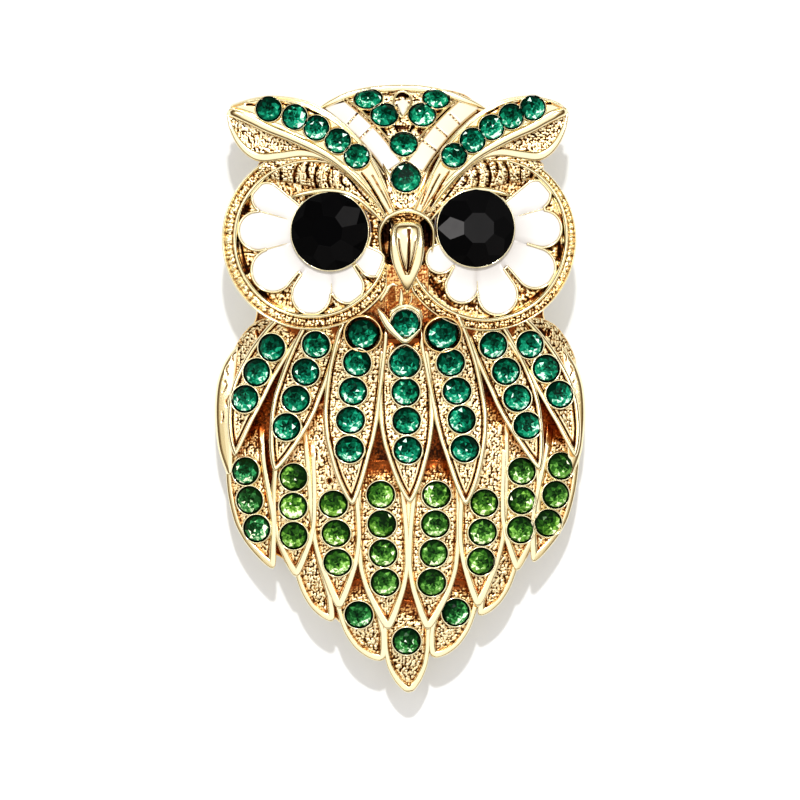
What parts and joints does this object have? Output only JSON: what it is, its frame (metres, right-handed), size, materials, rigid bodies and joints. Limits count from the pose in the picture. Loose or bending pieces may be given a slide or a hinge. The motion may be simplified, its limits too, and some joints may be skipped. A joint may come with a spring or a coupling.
{
  "type": "owl brooch",
  "caption": "Owl-shaped brooch: domed, hollow-backed gold-tone casting with layered feathers, faceted stones, enamel petals round two large dark eyes, and a bar pin across the back.",
  "frame": {"origin": "centre of the bounding box in X and Y, on the plane that the rim of the back rests on", "axes": "+Z out of the face of the owl, +Y from the tail to the crown, +X to the right as the face is seen"},
  "size_m": [0.0374, 0.0609, 0.0125],
  "materials": {
    "gold_plate": "polished pale gold plate, dark in the recesses",
    "pin_metal": "plain gold plate",
    "black_glass": "black, faceted, polished",
    "white_enamel": "white gloss enamel",
    "ivory_enamel": "ivory gloss enamel",
    "emerald_glass": "emerald green, faceted, foiled back",
    "peridot_glass": "yellow-green, faceted, foiled back",
    "green_glass": "leaf green, faceted, foiled back"
  },
  "bodies": {
    "root": {"casting": "gold_plate", "bar_pin": "pin_metal", "eye_stone_left": "black_glass", "eye_stone_right": "black_glass", "petals_left": "white_enamel", "petals_right": "white_enamel", "stripe_left": "ivory_enamel", "stripe_right": "ivory_enamel", "crown_drop": "ivory_enamel", "crown_stones": "emerald_glass", "brow_stones_left": "emerald_glass", "brow_stones_right": "emerald_glass", "breast_stones": "emerald_glass", "skirt_stones": "peridot_glass", "tail_stones": "green_glass"}
  },
  "joints": []
}
